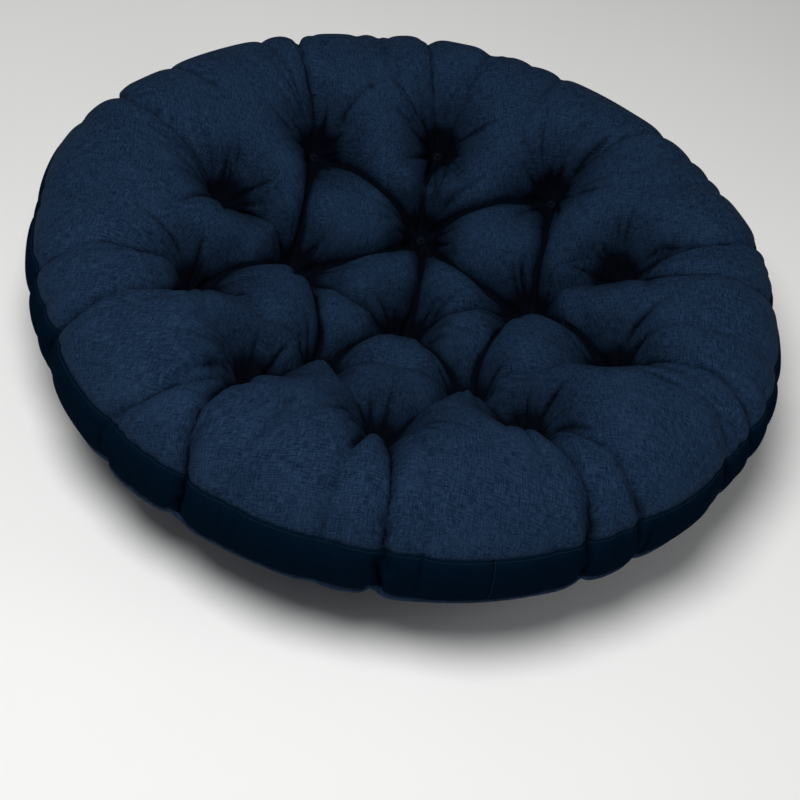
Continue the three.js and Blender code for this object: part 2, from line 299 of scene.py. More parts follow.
class Finish:
    """A material and the nodes that make it."""

    def __init__(self, name):
        self.material = bpy.data.materials.new(name)
        self.material.use_nodes = True
        self.tree = self.material.node_tree
        self.shader = self.tree.nodes["Principled BSDF"]

    def node(self, kind, settings=None, inputs=None, output=0):
        made = self.tree.nodes.new(kind)
        for key, item in (settings or {}).items():
            if key == "stops":
                ramp = made.color_ramp
                while len(ramp.elements) < len(item):
                    ramp.elements.new(0.5)
                for element, (place, colour) in zip(ramp.elements, item):
                    element.position = place
                    element.color = colour
            else:
                setattr(made, key, item)
        for key, item in (inputs or {}).items():
            if isinstance(item, Value):
                self.tree.links.new(item.socket, made.inputs[key])
            else:
                made.inputs[key].default_value = item
        return Value(self.tree, made.outputs[output])

    def place(self):
        """Object coordinates."""
        return self.node("ShaderNodeTexCoord", output=3)

    def scaled(self, coordinates, scale, turn=0.0):
        return self.node("ShaderNodeMapping", None, {0: coordinates, 2: (0.0, 0.0, turn), 3: scale})

    def noise(self, coordinates, scale, detail=2.0, roughness=0.5, output=0):
        """Noise as a number, or with output 1 as a colour."""
        inputs = {"Vector": coordinates, "Scale": scale, "Detail": detail, "Roughness": roughness}
        return self.node("ShaderNodeTexNoise", None, inputs, output)

    def blend(self, amount, first, second):
        settings = {"data_type": "RGBA", "blend_type": "MIX"}
        return self.node("ShaderNodeMix", settings, {0: amount, 6: first, 7: second}, output=2)

    def ramp(self, amount, low, high):
        stops = [(low, (0.0, 0.0, 0.0, 1.0)), (high, (1.0, 1.0, 1.0, 1.0))]
        return self.node("ShaderNodeValToRGB", {"stops": stops}, {0: amount})

    def bump(self, height, strength, distance):
        inputs = {"Height": height, "Strength": strength, "Distance": distance}
        return self.node("ShaderNodeBump", None, inputs)

    def feed(self, socket, item):
        if isinstance(item, Value):
            self.tree.links.new(item.socket, self.shader.inputs[socket])
        else:
            self.shader.inputs[socket].default_value = item


def opaque(colour, share=1.0):
    """A colour, or a share of it, as a socket takes it."""
    return (*(min(1.0, part * share) for part in colour), 1.0)


def linen_weave(name, painted_shade_share):
    """Slub weave of a linen look, laid along the cloth's own flat coordinates in metres, with painted shade
    in the folds and about the tufts, and a given share of painted shade for the band.
    """
    c = colours()
    finish = Finish(name)
    cloth = finish.node("ShaderNodeUVMap", {"uv_map": "cloth"})
    drift = finish.noise(cloth, 9.0, 3.0)
    uneven = finish.noise(cloth, 14.0, 1.0, output=1)
    waver = finish.node("ShaderNodeVectorMath", {"operation": "SCALE"}, {0: uneven, 3: 0.004})
    wavy = finish.node("ShaderNodeVectorMath", {"operation": "ADD"}, {0: cloth, 1: waver})
    warp = finish.noise(finish.scaled(wavy, (520.0, 50.0, 1.0)), 1.0, 3.0, 0.6)
    weft = finish.noise(finish.scaled(wavy, (50.0, 520.0, 1.0)), 1.0, 3.0, 0.6)
    long_warp = finish.noise(finish.scaled(wavy, (330.0, 14.0, 1.0)), 1.0, 2.0)
    long_weft = finish.noise(finish.scaled(wavy, (14.0, 330.0, 1.0)), 1.0, 2.0)
    short = finish.noise(finish.scaled(wavy, (760.0, 230.0, 1.0)), 1.0, 1.0)
    streaks = (warp + weft) * 0.36 + (long_warp + long_weft) * 0.10 + short * 0.08
    pale = finish.ramp(streaks, 0.485, 0.575)
    dark = finish.ramp(0.98 - streaks, 0.475, 0.565)
    base = finish.blend(pale, opaque(c.yarn), opaque(c.slub))
    mixed = finish.blend(dark, base, opaque(c.shade))
    worn = finish.blend((drift - 0.5).limited(0.0, 1.0) * 1.2, mixed, opaque(c.slub))
    # Painted shade of the band: the weave blended by the given share to the painted band shade.
    shaded = finish.blend(painted_shade_share, worn, opaque(c.painted_band_shade))
    # Painted shade in the folds and about the tufts, from the cloth's fold attribute.
    fold = finish.node("ShaderNodeAttribute", {"attribute_name": "fold"}, None, output=2)
    finish.feed("Base Color", finish.blend((fold * 0.97).limited(0.0, 1.0), shaded, opaque(c.deep)))
    finish.feed("Roughness", (1.02 - streaks * 0.30).limited(0.0, 1.0))
    across, along = (
        finish.node("ShaderNodeTexWave", {"wave_type": "BANDS", "bands_direction": direction},
                    {"Vector": wavy, "Scale": 260.0, "Distortion": 0.6})
        for direction in ("X", "Y")
    )
    relief = (across * along) * 0.35 + streaks
    weave = finish.bump(relief, 0.55, 0.0011)
    finish.feed("Normal", weave)
    finish.feed("Specular IOR Level", 0.04 * (1 - painted_shade_share))
    return finish.material


def twisted_thread(name, colour, scale):
    """Spun thread: fine slanting plies."""
    finish = Finish(name)
    plies = finish.noise(finish.place(), scale, 2.0)
    pale = finish.ramp(plies, 0.35, 0.65)
    finish.feed("Base Color", finish.blend(pale, opaque(colour), opaque(colour, 1.9)))
    finish.feed("Roughness", 0.62 + plies * 0.2)
    finish.feed("Specular IOR Level", 0.1)
    finish.feed("Normal", finish.bump(plies, 0.5, 0.0004))
    return finish.material


def moulded_plastic(name, colour):
    finish = Finish(name)
    place = finish.place()
    grain = finish.noise(place, 900.0, 3.0)
    cloudy = finish.noise(place, 60.0, 2.0)
    finish.feed("Base Color", finish.blend(cloudy, opaque(colour), opaque(colour, 1.5)))
    finish.feed("Roughness", 0.7 + grain * 0.2)
    finish.feed("Specular IOR Level", 0.05)
    finish.feed("Normal", finish.bump(grain, 0.2, 0.0003))
    return finish.material


def loose_fibre(name):
    finish = Finish(name)
    place = finish.place()
    clumps = finish.noise(place, 22.0, 4.0)
    hairs = finish.noise(finish.scaled(place, (1.0, 3.0, 1.0), 0.7), 300.0, 3.0)
    fibre = colours().fibre
    finish.feed("Base Color", finish.blend(clumps, opaque(fibre, 0.8), opaque(fibre)))
    finish.feed("Roughness", 0.85 + hairs * 0.15)
    finish.feed("Normal", finish.bump(hairs * 0.5 + clumps, 0.6, 0.004))
    return finish.material


def pale_floor(name):
    finish = Finish(name)
    mottle = finish.noise(finish.place(), 3.0, 2.0)
    floor = colours().floor
    finish.feed("Base Color", finish.blend(mottle, opaque(floor, 0.97), opaque(floor)))
    finish.feed("Roughness", 0.8 + mottle * 0.1)
    return finish.material


# ---------- the cushion's form


def wrapped(turn):
    """An angle brought to within half a turn of zero."""
    return (turn + math.pi) % TAU - math.pi


def smooth(value, low, high):
    """A share that rises smoothly from 0 at the low value to 1 at the high one."""
    share = np.clip((value - low) / (high - low), 0, 1)
    return share * share * (3 - 2 * share)


def bell(value, width):
    """A share that is 1 at zero and falls away on both sides."""
    return np.exp(-((value / width) ** 2))


def direction_of(points):
    return np.arctan2(points[:, 1], points[:, 0])


def about_axis(radius, angle, *height):
    """Points at a radius and an angle about the axis, with a height if one is given."""
    return np.stack([radius * np.cos(angle), radius * np.sin(angle), *height], 1)


class Crease:
    """A bowed line on the flat cloth, from one point to another."""

    def __init__(self, start, end, bow):
        self.start = start
        self.along = end - start
        self.length = float(np.hypot(*self.along))
        self.side = np.array([-self.along[1], self.along[0]]) / self.length
        self.bow = bow * self.length

    def share(self, points):
        """How far along the line each point lies, from 0 to 1."""
        return np.clip(((points - self.start) @ self.along) / self.length**2, 0, 1)

    def offset(self, points):
        """From each point to the nearest place on the line."""
        share = self.share(points)[:, None]
        bowed = self.bow * np.sin(np.pi * share)
        return self.start + share * self.along + bowed * self.side - points

    def distance(self, points):
        return np.hypot(*self.offset(points).T)


class Form:
    """The dish, the places of the tufts and creases, and the cloth points laid over them."""

    def __init__(self):
        s = shape()
        self.s = s
        self.rim = s.outer_radius - s.edge_half
        self.radii = np.linspace(0, self.rim, 400)
        heights = self.height(self.radii)
        steps = np.hypot(np.diff(self.radii), np.diff(heights))
        self.lengths = np.concatenate([[0], np.cumsum(steps)])
        self.rim_length = self.lengths[-1]
        self.panel = self.rim_length + s.edge_half * s.face_seam_turn
        inner = self.ring(5, s.inner_ring_radius, 18)
        outer = self.ring(10, s.outer_ring_radius, -18)
        centre = np.zeros((1, 2))
        self.tufts = np.vstack([centre, inner, outer])
        self.creases = []
        for i in range(5):
            at = 2 * i + 1
            bow = 0.07 * (-1) ** i
            self.creases += [
                Crease(centre[0], inner[i], bow),
                Crease(inner[i], inner[(i + 1) % 5], 0.06),
                Crease(inner[i], outer[at], -bow),
                Crease(inner[i], outer[at - 1], 0.08),
                Crease(inner[i], outer[(at + 1) % 10], -0.08),
            ]
        self.rim_creases = []
        for index, lean, _, bow in RIM_CREASES:
            turn = degrees(lean)
            out = outer[index] / np.hypot(*outer[index]) * self.panel
            end = np.array([out[0] * math.cos(turn) - out[1] * math.sin(turn),
                            out[0] * math.sin(turn) + out[1] * math.cos(turn)])
            self.rim_creases.append(Crease(outer[index], end, bow))

    def tuft_distance(self, flat):
        """How far each point of the flat cloth is from the nearest tuft."""
        return np.min([np.hypot(*(flat - tuft).T) for tuft in self.tufts], axis=0)

    def height(self, radius):
        s = self.s
        turn = np.pi * (radius / (s.outer_radius - s.edge_half)) ** s.dish_power
        return s.centre_height + s.dish_depth * (1 - np.cos(turn)) / 2

    def ring(self, count, radius, start):
        length = np.interp(radius, self.radii, self.lengths)
        angle = np.radians(start + 360 * np.arange(count) / count)
        return about_axis(length, angle)

    def middle(self, length):
        """Radius, height and slope of the middle layer at a length along it."""
        radius = np.interp(length, self.lengths, self.radii)
        low = np.maximum(radius - 0.001, 0)
        high = np.minimum(radius + 0.001, self.rim)
        slope = np.arctan2(self.height(high) - self.height(low), high - low)
        return radius, self.height(radius), slope

    def crest(self, points, side):
        """The rim's rise or drop off the middle layer; the front lobes stand fuller."""
        s = self.s
        if side < 0:
            return np.full(len(points), s.edge_half)
        turn = direction_of(points)
        front = bell(wrapped(turn - degrees(FRONT)), degrees(FRONT_WIDTH))
        return s.face_crest * (1 + s.front_rise * front)

    def stand_off(self, points, side):
        """How far the cloth stands off the middle layer before it settles."""
        s = self.s
        lobe = s.face_lobe if side > 0 else s.under_lobe
        away = np.hypot(*points.T)
        grown = smooth(away, CREST_FROM * self.rim_length, self.rim_length)
        full = lobe + (self.crest(points, side) - lobe) * grown
        crease = np.zeros(len(points))
        for line in self.creases:
            crease = np.maximum(crease, CREASE_SHARE * bell(line.distance(points), CREASE_REACH))
        begin, lost = RIM_CREASE_FADE
        fade = 1 - lost * np.clip((away / self.panel - begin) / (1 - begin), 0, 1)
        for line, (_, _, deepest, _) in zip(self.rim_creases, RIM_CREASES):
            notch = deepest * RIM_CREASE_SHARE * fade * bell(line.distance(points), CREASE_REACH)
            crease = np.maximum(crease, notch)
        near = self.tuft_distance(points)
        rise = np.sin(np.clip((near - TUFT_FLAT) / TUFT_RISE, 0, 1) * np.pi / 2)
        return s.pinch + (full * (1 - crease) - s.pinch) * rise

    def lay(self, points, side):
        """Flat cloth points laid over the dish."""
        s = self.s
        away = np.hypot(*points.T)
        radius, height, slope = self.middle(np.minimum(away, self.rim_length))
        off = self.stand_off(points, side)
        seam_turn = s.face_seam_turn if side > 0 else math.pi - s.under_seam_turn
        over = seam_turn * np.maximum(0, away - self.rim_length) / (self.panel - self.rim_length)
        outward, upward = s.edge_half * np.sin(over), side * off * np.cos(over)
        return self.set_off(radius, height, slope, outward, upward, points)

    def lay_band(self, points, share):
        """Points of the side band, a share of the way down from the face seam."""
        s = self.s
        turn = s.face_seam_turn + (s.under_seam_turn - s.face_seam_turn) * share
        radius, height, slope = self.middle(np.full(len(points), self.rim_length))
        off = self.stand_off(points, 1 if turn < math.pi / 2 else -1)
        return self.set_off(radius, height, slope, s.edge_half * math.sin(turn), off * math.cos(turn), points)

    @staticmethod
    def set_off(radius, height, slope, outward, upward, points):
        far = radius + outward * np.cos(slope) - upward * np.sin(slope)
        tall = height + outward * np.sin(slope) + upward * np.cos(slope)
        return about_axis(far, direction_of(points), np.maximum(tall, 0.0))


class Cut:
    """The cover cut flat: a face circle, a band and an underside circle, on one set of points."""

    FACE, BAND, UNDER = 0, 1, 2

    def __init__(self, form):
        self.form = form
        rings = sewing().rings
        self.columns = 6 * rings
        starts = [0]
        circle = [np.zeros((1, 2))]
        count = 1
        for k in range(1, rings + 1):
            starts.append(count)
            angle = TAU * np.arange(6 * k) / (6 * k)
            circle.append(k / rings * np.stack([np.cos(angle), np.sin(angle)], 1))
            count += 6 * k
        self.flat = self.drawn_to_creases(np.vstack(circle) * form.panel)
        self.per_circle = len(self.flat)
        self.seam = starts[rings] + np.arange(self.columns)
        self.band_rows = max(5, round(shape().band_height / (form.panel / rings)))
        circle_faces = self.circle_faces(rings, starts)
        self.faces = list(circle_faces)
        self.panel_of = [self.FACE] * len(circle_faces)
        under = self.per_circle + self.columns * (self.band_rows - 1)
        self.under = under
        lines = [self.seam]
        for row in range(self.band_rows - 1):
            lines.append(self.per_circle + self.columns * row + np.arange(self.columns))
        lines.append(under + self.seam)
        self.band_lines = lines
        for upper, lower in zip(lines[:-1], lines[1:]):
            for j in range(self.columns):
                k = (j + 1) % self.columns
                self.faces.append((int(upper[j]), int(lower[j]), int(lower[k]), int(upper[k])))
                self.panel_of.append(self.BAND)
        self.faces += [(a + under, c + under, b + under) for a, b, c in circle_faces]
        self.panel_of += [self.UNDER] * len(circle_faces)

    def drawn_to_creases(self, points):
        """Closes the points up beside the creases, where the cloth folds tightest."""
        form = self.form
        lines = form.creases + form.rim_creases
        offsets = np.stack([line.offset(points) for line in lines])
        far = np.hypot(offsets[..., 0], offsets[..., 1])
        nearest = far.argmin(axis=0)
        each = np.arange(len(points))
        offset, far = offsets[nearest, each], far[nearest, each]
        away = np.hypot(*points.T)
        share, reach = GATHER_TO_CREASE
        pull = share * bell(far, reach)
        begin, end = GATHER_END
        pull *= 1 - smooth(away, begin * form.panel, end * form.panel)
        drawn = points + offset * pull[:, None]
        share, reach = GATHER_TO_TUFT
        for tuft in form.tufts:
            offset = tuft - drawn
            far = np.hypot(*offset.T)
            drawn += offset * (share * bell(far, reach))[:, None]
        return drawn

    @staticmethod
    def circle_faces(rings, starts):
        faces = []
        for k in range(1, rings + 1):
            for sector in range(6):
                for j in range(k):
                    here = starts[k] + sector * k + j
                    beside = starts[k] + (sector * k + j + 1) % (6 * k)
                    within = starts[k - 1] + (sector * (k - 1) + j) % max(1, 6 * (k - 1))
                    faces.append((here, beside, within))
                    if j < k - 1:
                        next_in = starts[k - 1] + (sector * (k - 1) + j + 1) % (6 * (k - 1))
                        faces.append((within, beside, next_in))
        return faces

    def start_points(self):
        rim = self.flat[self.seam]
        bands = [self.form.lay_band(rim, row / self.band_rows) for row in range(1, self.band_rows)]
        return np.vstack([self.form.lay(self.flat, 1), *bands, self.form.lay(self.flat, -1)])

    def profile(self, round_inner, length_inner, round_rim, length_rim):
        """The cloth's own unstretched form, as radius and height against length from the centre."""
        form = self.form
        along = np.linspace(0, form.panel, 800)
        radius, _, _ = form.middle(np.minimum(along, form.rim_length))
        over = np.maximum(0, along - form.rim_length) / shape().edge_half
        radius = radius + shape().edge_half * np.sin(over)
        round_ease = round_inner + (round_rim - round_inner) * smooth(along, ROUND_EASE_FROM, form.panel)
        length_ease = length_inner + (length_rim - length_inner) * smooth(along, LENGTH_EASE_FROM, form.panel)
        wanted = radius * round_ease
        out, up = [0.0], [0.0]
        for i in range(len(along) - 1):
            step = (along[i + 1] - along[i]) * (length_ease[i] + length_ease[i + 1]) / 2
            across = wanted[i + 1] - wanted[i] + (wanted[i] - out[i]) * 0.2
            across = min(max(across, -step), step)
            out.append(out[i] + across)
            up.append(up[i] + math.sqrt(max(0.0, step * step - across * across)))
        return along, np.array(out), np.array(up)

    def rest_points(self):
        """Where each point lies when no cloth is stretched."""
        w = sewing()
        angle = direction_of(self.flat)
        away = np.hypot(*self.flat.T)
        half = shape().band_height / 2
        layers, rims = [], []
        eases = (
            (w.round_ease, w.length_ease, w.rim_round_ease, w.rim_length_ease),
            (w.under_ease, w.under_ease, w.rim_round_ease, UNDER_RIM_EASE),
        )
        for side, ease in zip((1, -1), eases):
            along, out, up = self.profile(*ease)
            radius = np.interp(away, along, out)
            height = np.interp(away, along, up) - up[-1] + side * half
            layers.append(about_axis(radius, angle, height))
            rims.append(out[-1])
        turn = angle[self.seam]
        bands = []
        for row in range(1, self.band_rows):
            share = row / self.band_rows
            radius = (1 - share) * rims[0] + share * rims[1]
            height = np.full(self.columns, half - 2 * half * share)
            bands.append(about_axis(radius, turn, height))
        return np.vstack([layers[0], *bands, layers[1]])

    def held_points(self):
        """The points under the tuft discs."""
        held = set()
        for tuft in self.form.tufts:
            away = np.hypot(*(self.flat - tuft).T)
            close = set(np.where(away < HELD_REACH)[0]) | {int(away.argmin())}
            held |= {int(i) for i in close} | {int(i) + self.under for i in close}
        return sorted(held)


def choose(piece):
    """Selects one object and no other."""
    for item in bpy.context.selected_objects:
        item.select_set(False)
    piece.select_set(True)
    bpy.context.view_layer.objects.active = piece


def new_piece(name, points, faces):
    mesh = bpy.data.meshes.new(name)
    mesh.from_pydata(np.asarray(points).tolist(), [], faces)
    mesh.update()
    piece = bpy.data.objects.new(name, mesh)
    bpy.context.collection.objects.link(piece)
    choose(piece)
    return piece


def points_of(mesh, kind="co"):
    """The mesh's points, or with kind "normal" their normals."""
    found = np.empty(len(mesh.vertices) * 3)
    mesh.vertices.foreach_get(kind, found)
    return found.reshape(-1, 3)


def settle(cut):
    """Lets the filled cover settle, held at its tufts, and returns its points."""
    w = sewing()
    start = cut.start_points()
    blank = new_piece("cover_blank", start, cut.faces)
    group = blank.vertex_groups.new(name="tufts")
    group.add(cut.held_points(), 1.0, "REPLACE")
    blank.shape_key_add(name="Basis")
    unstretched = blank.shape_key_add(name="unstretched")
    unstretched.data.foreach_set("co", cut.rest_points().ravel())
    unstretched.value = 0.0
    modifier = blank.modifiers.new("filling", "CLOTH")
    cloth = modifier.settings
    wanted = {
        "quality": 5, "mass": 0.3, "air_damping": 1.0,
        "tension_stiffness": w.tension, "compression_stiffness": 1.0,
        "shear_stiffness": 5.0, "bending_stiffness": w.bending,
        "tension_damping": 5.0, "compression_damping": 5.0, "shear_damping": 5.0, "bending_damping": 0.5,
        "use_pressure": True, "uniform_pressure_force": w.pressure,
        "vertex_group_mass": "tufts", "rest_shape_key": unstretched,
    }
    for key, item in wanted.items():
        setattr(cloth, key, item)
    cloth.effector_weights.gravity = 0.0
    modifier.collision_settings.use_collision = False
    modifier.point_cache.frame_start = 1
    modifier.point_cache.frame_end = w.frames
    scene = bpy.context.scene
    for step in range(1, w.frames + 1):
        scene.frame_set(step)
    settled = blank.evaluated_get(bpy.context.evaluated_depsgraph_get())
    found = points_of(settled.to_mesh())
    bpy.data.objects.remove(blank, do_unlink=True)
    scene.frame_set(1)
    return found


# ---------- finishing the cover


def normals_of(points, faces):
    """Outward normals of the points of a closed form."""
    mesh = bpy.data.meshes.new("measure")
    mesh.from_pydata(points.tolist(), [], faces)
    mesh.update()
    found = points_of(mesh, "normal")
    bpy.data.meshes.remove(mesh)
    return found


def eased_to_size(points):
    """Draws the rim out to its full radius and flattens what rests on the ground."""
    far = np.hypot(points[:, 0], points[:, 1])
    widest = np.percentile(far, 99.8)
    turn = direction_of(points)
    reach = np.full(len(points), shape().outer_radius)
    for direction, width, extra in RIM_REACH:
        reach += extra * bell(wrapped(turn - degrees(direction)), degrees(width))
    stretch = 1 + (reach / widest - 1) * smooth(far, *DRAWN_OUT)
    eased = points.copy()
    eased[:, 0] *= stretch
    eased[:, 1] *= stretch
    tallest = eased[:, 2].max()
    over = np.maximum(eased[:, 2] - CREST_BEGINS, 0)
    eased[:, 2] -= over * max(0.0, 1 - (CREST_LIMIT - CREST_BEGINS) / (tallest - CREST_BEGINS))
    eased[:, 2] = np.maximum(eased[:, 2], 0.0)
    return eased


class Cover:
    """The settled cover, shared by the operators that make its pieces."""

    made = None

    def __init__(self):
        self.form = Form()
        self.cut = Cut(self.form)
        points = eased_to_size(settle(self.cut))
        inward = self.middle_points()[0] - points
        inward /= np.maximum(np.linalg.norm(inward, axis=1), 0.01)[:, None]
        points += inward * self.rim_fold_depth(len(points))[:, None]
        normals = normals_of(points, self.cut.faces)
        for line in (self.cut.band_lines[0], self.cut.band_lines[-1]):
            points[line] -= normals[line] * SEAM_SINK
        joins = [self.join_column(i) for i in range(JOINS)]
        for line in self.cut.band_lines[1:-1]:
            points[line[joins]] -= normals[line[joins]] * JOIN_SINK
        self.points = points
        self.normals = normals_of(points, self.cut.faces)

    @classmethod
    def get(cls):
        if cls.made is None:
            cls.made = cls()
        return cls.made

    def middle_points(self):
        """The place on the middle layer under each point of the cover, and its distance from a tuft."""
        cut, form = self.cut, self.form
        flat = np.vstack([cut.flat] + [cut.flat[cut.seam]] * (cut.band_rows - 1) + [cut.flat])
        radius, height, _ = form.middle(np.minimum(np.hypot(*flat.T), form.rim_length))
        return about_axis(radius, direction_of(flat), height), form.tuft_distance(flat)

    def rim_fold_depth(self, count):
        """Depth of the folds that run from the outer tufts over the rim and down the band."""
        cut, form = self.cut, self.form
        depth = np.zeros(count)
        flat = cut.flat
        away = np.hypot(*flat.T)
        turn = direction_of(flat)
        chance = np.random.default_rng(RIM_FOLD_SEED)
        face = np.zeros(len(flat))
        for line, (_, _, deepest, _) in zip(form.rim_creases, RIM_CREASES):
            deep = RIM_FOLD_SHARE * deepest * smooth(line.share(flat), *RIM_FOLD_RISE)
            face = np.maximum(face, deep * np.exp(-line.distance(flat) / RIM_FOLD_WIDTH))
            middle = math.atan2(line.start[1] + line.along[1], line.start[0] + line.along[0])
            for _ in range(SMALL_FOLDS):
                aside = chance.uniform(-1, 1) * degrees(SMALL_FOLD_SPREAD)
                begin = form.panel * chance.uniform(*SMALL_FOLD_BEGIN)
                lean = chance.uniform(-SMALL_FOLD_LEAN, SMALL_FOLD_LEAN)
                bend = wrapped(turn - middle - aside - lean * (form.panel - away) / form.panel) * away
                deep = chance.uniform(*SMALL_FOLD_DEPTH) * smooth(away, begin, begin + SMALL_FOLD_RISE)
                face = np.maximum(face, deep * np.exp(-np.abs(bend) / SMALL_FOLD_WIDTH))
        depth[: cut.per_circle] = face
        rim_face = face[cut.seam]
        for row in range(1, cut.band_rows):
            depth[cut.band_lines[row]] = rim_face * (1 - BAND_FOLD_LOSS * row / cut.band_rows)
        return depth

    def join_column(self, index):
        turn = (shape().first_join + TAU * index / JOINS) % TAU
        return round(turn / TAU * self.cut.columns) % self.cut.columns

    def faces_of(self, panel):
        return [face for face, kind in zip(self.cut.faces, self.cut.panel_of) if kind == panel]

    def band_faces(self, index):
        """Faces of one strip of the band, and its flat coordinates by point."""
        cut = self.cut
        first = self.join_column(index)
        last = self.join_column((index + 1) % JOINS)
        if last <= first:
            last += cut.columns
        pitch = TAU * shape().outer_radius * sewing().rim_round_ease / cut.columns
        rise = shape().band_height / cut.band_rows
        faces, flat = [], {}
        for column in range(first, last):
            here, beside = column % cut.columns, (column + 1) % cut.columns
            for row in range(cut.band_rows):
                upper, lower = cut.band_lines[row], cut.band_lines[row + 1]
                corners = (upper[here], lower[here], lower[beside], upper[beside])
                faces.append(tuple(int(c) for c in corners))
                places = ((column, row), (column, row + 1), (column + 1, row + 1), (column + 1, row))
                for corner, (across, down) in zip(corners, places):
                    flat[int(corner)] = (across * pitch, -down * rise)
        return faces, flat

    def piece(self, name, faces, flat_of):
        """A piece of the cover's points, with its flat coordinates as a UV map."""
        used = sorted({corner for face in faces for corner in face})
        place = {corner: i for i, corner in enumerate(used)}
        piece = new_piece(name, self.points[used], [tuple(place[c] for c in face) for face in faces])
        layer = piece.data.uv_layers.new(name="cloth")
        corner_ids = np.empty(len(piece.data.loops), dtype=int)
        piece.data.loops.foreach_get("vertex_index", corner_ids)
        flat = np.array([flat_of(corner) for corner in used])
        layer.data.foreach_set("uv", flat[corner_ids].ravel())
        return piece


def apply_modifier(piece, kind, **settings):
    modifier = piece.modifiers.new(kind.lower(), kind)
    for key, item in settings.items():
        setattr(modifier, key, item)
    choose(piece)
    bpy.ops.object.modifier_apply(modifier=modifier.name)


def flat_points_of(mesh):
    """Each point's flat coordinates, from the piece's UV map."""
    corner_ids = np.empty(len(mesh.loops), dtype=int)
    mesh.loops.foreach_get("vertex_index", corner_ids)
    uv = np.empty(len(mesh.loops) * 2)
    mesh.uv_layers["cloth"].data.foreach_get("uv", uv)
    flat = np.zeros((len(mesh.vertices), 2))
    flat[corner_ids] = uv.reshape(-1, 2)
    return flat


def tuft_fold(chance, angle, far, at, kind):
    """Depth, by each point's angle and distance from a tuft, of one curling line that leaves the tuft."""
    length = chance.uniform(*kind["length"])
    curl = chance.uniform(-kind["curl"], kind["curl"])
    deep = chance.uniform(*kind["depth"]) * smooth(far, *kind["rise"])
    deep = deep * (1 - smooth(far, kind["full"] * length, length))
    across = np.abs(wrapped(angle - at - curl * far)) * np.maximum(far, FOLD_CLEAR[0])
    near, more = kind["width"]
    return deep * np.exp(-across / (near + more * far)) * (np.cos(wrapped(angle - at)) > 0)


def crumple(mesh, scale):
    """Sharp creases between the tufts, darts that run in to each tuft, and folds dragged outward."""
    form = Cover.get().form
    flat = flat_points_of(mesh) / scale
    normals = points_of(mesh, "normal")
    depth = np.zeros(len(flat))
    chance = np.random.default_rng(TUFT_FOLD_SEED)
    midway, more = CREASE_DEPTH
    for line in form.creases:
        deep = midway + more * np.abs(2 * line.share(flat) - 1) ** CREASE_POWER
        depth = np.maximum(depth, deep * np.exp(-line.distance(flat) / CREASE_WIDTH))
    for tuft in form.tufts:
        away = flat - tuft
        far = np.hypot(*away.T)
        angle = direction_of(away)
        count = int(chance.integers(*DART_COUNT))
        start = chance.uniform(0, TAU)
        for k in range(count):
            at = start + TAU * (k + chance.uniform(-DART_UNEVEN, DART_UNEVEN)) / count
            depth = np.maximum(depth, tuft_fold(chance, angle, far, at, DARTS))
        for _ in range(DRAG_COUNT):
            at = math.atan2(tuft[1], tuft[0]) + chance.uniform(-DRAG_SPREAD, DRAG_SPREAD)
            depth = np.maximum(depth, tuft_fold(chance, angle, far, at, DRAGS))
    begin, end = FOLD_END
    depth *= 1 - smooth(np.hypot(*flat.T), begin * form.panel, end * form.panel)
    depth *= smooth(form.tuft_distance(flat), *FOLD_CLEAR)
    moved = points_of(mesh) - normals * depth[:, None]
    mesh.vertices.foreach_set("co", moved.ravel())
    mesh.update()


def smoothed(points, edges, times):
    """The points after a number of passes of averaging with their neighbours."""
    first = np.concatenate([edges[:, 0], edges[:, 1]])
    second = np.concatenate([edges[:, 1], edges[:, 0]])
    count = np.maximum(np.bincount(first, minlength=len(points)), 1)[:, None]
    for _ in range(times):
        sums = [np.bincount(first, weights=points[second, k], minlength=len(points)) for k in range(3)]
        points = points * 0.4 + np.stack(sums, 1) / count * 0.6
    return points


def paint_fold_shade(piece, ease=None):
    """Stores the painted shade of each point of the cloth, from 0 to 1, as its own attribute: the deeper the
    point lies in a fold, and, given the ease, the nearer it is to a tuft, the darker.
    """
    mesh = piece.data
    points = points_of(mesh)
    normals = points_of(mesh, "normal")
    edges = np.empty(len(mesh.edges) * 2, dtype=int)
    mesh.edges.foreach_get("vertices", edges)
    edges = edges.reshape(-1, 2)
    fold = np.zeros(len(points))
    level = points
    for passes, begins, depth, weight in PAINTED_FOLD_SHADE_SIZES:
        level = smoothed(level, edges, passes)
        sunk = np.einsum("ij,ij->i", level - points, normals)
        fold += np.clip((sunk - begins) / depth, 0, 1) * weight
    if ease:
        near = Cover.get().form.tuft_distance(flat_points_of(mesh) / ease)
        # Painted shade about each tuft.
        for low, high, weight in PAINTED_PIT_SHADES:
            fold += weight * (1 - smooth(near, low, high))
    layer = mesh.attributes.new("fold", "FLOAT", "POINT")
    layer.data.foreach_set("value", np.clip(fold, 0, 1))


def shade_smooth(piece):
    choose(piece)
    bpy.ops.object.shade_smooth()


def finish_piece(piece, finish, slot, *nodes):
    piece.data.materials.clear()
    piece.data.materials.append(finish)
    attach(piece, BODY)
    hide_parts(*nodes)


def finish_cloth(piece, finish, slot, node, ease=None):
    """Stores the painted shade of a cloth piece's folds, gives it its thickness and finishes it."""
    paint_fold_shade(piece, ease)
    apply_modifier(piece, "SOLIDIFY", thickness=sewing().cloth_thickness, offset=-1.0)
    shade_smooth(piece)
    finish_piece(piece, finish, slot, node)


